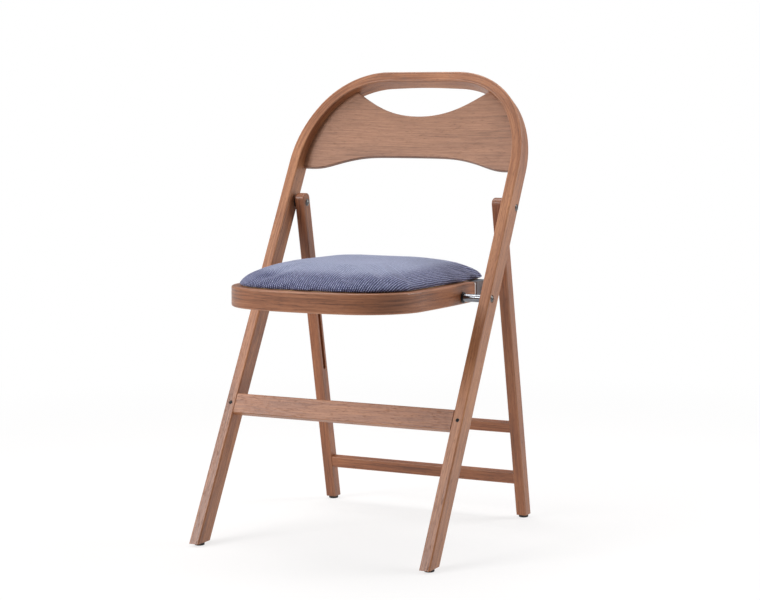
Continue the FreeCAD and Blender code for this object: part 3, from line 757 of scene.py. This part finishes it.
def weave_places(pad, co):
    """Where each point of the cover lies on the flat cloth, laid over the crown and turned down over the edge."""
    base = outline(PAD_INSET, PAD_REAR, PAD_CORNER, 1600)
    nxt = np.roll(base, -1, 0) - np.roll(base, 1, 0)
    out = np.stack([nxt[:, 1], -nxt[:, 0]], 1)
    out /= np.linalg.norm(out, axis=1)[:, None]
    prof = np.array([(ins, h) for h, ins in LEVELS])
    seg = np.diff(prof, axis=0)
    seg_len = np.linalg.norm(seg, axis=1)
    cum = np.concatenate([[0], np.cumsum(seg_len)])
    weave = np.zeros((len(co), 3), np.float32)
    for lo in range(0, len(co), 4000):
        p = co[lo:lo + 4000]
        d2 = ((p[:, None, :2] - base[None]) ** 2).sum(2)
        k = d2.argmin(1)
        e = np.sqrt(d2[np.arange(len(p)), k])
        inside = ((p[:, :2] - base[k]) * out[k]).sum(1) < 0
        e = np.where(inside, e, -e)
        h = p[:, 2] - RIM_HIGH
        best = np.full(len(p), 1e9)
        along = np.zeros(len(p))
        for j in range(len(seg)):
            t = ((e - prof[j, 0]) * seg[j, 0] + (h - prof[j, 1]) * seg[j, 1]) / seg_len[j] ** 2
            t = np.clip(t, 0, 1)
            dx, dy = prof[j, 0] + t * seg[j, 0] - e, prof[j, 1] + t * seg[j, 1] - h
            dd = dx * dx + dy * dy
            better = dd < best
            best = np.where(better, dd, best)
            along = np.where(better, cum[j] + t * seg_len[j], along)
        flat = e > prof[-1, 0]
        out_by = cum[-1] - along - prof[-1, 0]
        pos = base[k] + out[k] * out_by[:, None]
        pos = np.where(flat[:, None], p[:, :2], pos)
        weave[lo:lo + 4000, :2] = pos
        weave[lo:lo + 4000, 2] = along
    at = pad.data.attributes.new("weave", "FLOAT_VECTOR", "POINT")
    at.data.foreach_set("vector", weave.ravel())


pad = build_pad()
pad.data.materials.clear()
pad.data.materials.append(fabric("fabric_seat"))
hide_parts("seat_cover", "seat_foam")
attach(pad, "seat")


# ---------------------------------------------------------------------------
# smooth shading on the carried-over solids
# ---------------------------------------------------------------------------
for o in nodes.values():
    if not o.hide_render:
        o.data.polygons.foreach_set("use_smooth", np.ones(len(o.data.polygons), bool))


# ---------------------------------------------------------------------------
# floor, light and camera
# ---------------------------------------------------------------------------
def floor():
    bm = bmesh.new()
    rings, n = [0.0, 0.4, 0.8, 1.4, 2.2, 4.0, 9.0, 30.0], 72
    c = bm.verts.new((0, 0, 0))
    prev = None
    for r in rings[1:]:
        ring = [bm.verts.new((r * math.cos(2 * math.pi * k / n), r * math.sin(2 * math.pi * k / n), 0)) for k in range(n)]
        for k in range(n):
            if prev is None:
                bm.faces.new((c, ring[k], ring[(k + 1) % n]))
            else:
                bm.faces.new((prev[k], ring[k], ring[(k + 1) % n], prev[(k + 1) % n]))
        prev = ring
    me = bpy.data.meshes.new("studio_floor")
    bm.to_mesh(me)
    bm.free()
    o = bpy.data.objects.new("studio_floor", me)
    scene.collection.objects.link(o)
    m = Mat("floor_paper")
    x, y, z = m.coords()
    r = hyp(x, y)
    grain = m.noise(x * 300.0, y * 300.0, z, 2.0, 0.6)
    col = m.mix((grain - 0.5) * 0.02 + 0.5, (0.235, 0.228, 0.226), (0.245, 0.238, 0.236))
    m.set(color=col, rough=0.9, spec=0.05)
    m.b.inputs["Emission Color"].default_value = (1, 1, 1, 1)
    m.b.inputs["Emission Strength"].default_value = 0.745
    em = m.new("ShaderNodeEmission")
    em.inputs["Color"].default_value = (1, 1, 1, 1)
    em.inputs["Strength"].default_value = 1.0
    mx = m.new("ShaderNodeMixShader")
    m.link(r.smooth(0.75, 1.9), mx.inputs[0])
    m.t.links.new(m.b.outputs[0], mx.inputs[1])
    m.t.links.new(em.outputs[0], mx.inputs[2])
    m.t.links.new(mx.outputs[0], m.out.inputs[0])
    me.materials.append(m.m)


floor()

world = bpy.data.worlds.new("studio")
scene.world = world
world.use_nodes = True
wt = world.node_tree
wt.nodes.clear()
wo = wt.nodes.new("ShaderNodeOutputWorld")
seen = wt.nodes.new("ShaderNodeBackground")
seen.inputs[0].default_value, seen.inputs[1].default_value = (1, 1, 1, 1), 1.0
fill = wt.nodes.new("ShaderNodeBackground")
fill.inputs[1].default_value = 1.0
wc = wt.nodes.new("ShaderNodeTexCoord")
dot = wt.nodes.new("ShaderNodeVectorMath")
dot.operation = "DOT_PRODUCT"
wt.links.new(wc.outputs["Generated"], dot.inputs[0])
dot.inputs[1].default_value = Vector((0.64, -0.76, 0.06)).normalized()
shade = Val(wt, dot.outputs["Value"]).smooth(0.10, 0.80, 0.0, 1.0)
wr = wt.nodes.new("ShaderNodeMix")
wr.data_type = "RGBA"
for sock in wr.inputs:
    if sock.identifier == "A_Color":
        sock.default_value = (0.34, 0.347, 0.360, 1)
    elif sock.identifier == "B_Color":
        sock.default_value = (0.03, 0.03, 0.031, 1)
    elif sock.identifier == "Factor_Float":
        wt.links.new(shade.s, sock)
wt.links.new([o for o in wr.outputs if o.identifier == "Result_Color"][0], fill.inputs[0])
lp = wt.nodes.new("ShaderNodeLightPath")
wm = wt.nodes.new("ShaderNodeMixShader")
wt.links.new(lp.outputs["Is Camera Ray"], wm.inputs[0])
wt.links.new(fill.outputs[0], wm.inputs[1])
wt.links.new(seen.outputs[0], wm.inputs[2])
wt.links.new(wm.outputs[0], wo.inputs[0])


def area(name, at, to, size, white, color=(1, 1, 1)):
    """A soft light that lifts a white card at its target by `white`."""
    d = (Vector(at) - Vector(to)).length
    li = bpy.data.lights.new(name, "AREA")
    li.shape = "DISK" if size[0] == size[1] else "RECTANGLE"
    li.size = size[0]
    if size[0] != size[1]:
        li.size_y = size[1]
    li.energy = white * math.pi ** 2 * d * d
    li.color = color
    o = bpy.data.objects.new(name, li)
    o.location = at
    o.rotation_mode = "QUATERNION"
    o.rotation_quaternion = (Vector(to) - Vector(at)).to_track_quat("-Z", "Y")
    o.visible_camera = False
    scene.collection.objects.link(o)
    return o


area("light_key", (-0.5, 0.35, 2.6), (0, 0.1, 0.55), (1.6, 1.6), 0.80, (1.0, 0.985, 0.965))
area("light_right", (1.25, 0.92, 1.35), (0.2, 0, 0.6), (0.6, 1.3), 0.64)
area("light_front", (-1.8, -2.5, 2.0), (0, 0, 0.4), (1.6, 1.4), 0.60)

yaw, pitch, roll = math.radians(27.323), math.radians(6.536), math.radians(-0.466)
fwd = Vector((-math.sin(yaw) * math.cos(pitch), math.cos(yaw) * math.cos(pitch), -math.sin(pitch)))
right = Vector((math.cos(yaw), math.sin(yaw), 0.0))
up = right.cross(fwd)
right2 = right * math.cos(roll) + up * math.sin(roll)
up2 = up * math.cos(roll) - right * math.sin(roll)
cam = bpy.data.cameras.new("camera")
cam.sensor_width = 36.0
cam.sensor_fit = "HORIZONTAL"
cam.lens = 2057.8 * 36.0 / 760.0
cam.clip_start, cam.clip_end = 0.05, 200.0
co = bpy.data.objects.new("camera", cam)
co.matrix_world = Matrix((
    (right2.x, up2.x, -fwd.x, 1.62148),
    (right2.y, up2.y, -fwd.y, -3.09429),
    (right2.z, up2.z, -fwd.z, 0.80371),
    (0, 0, 0, 1)))
scene.collection.objects.link(co)
scene.camera = co
scene.view_settings.view_transform = "Standard"
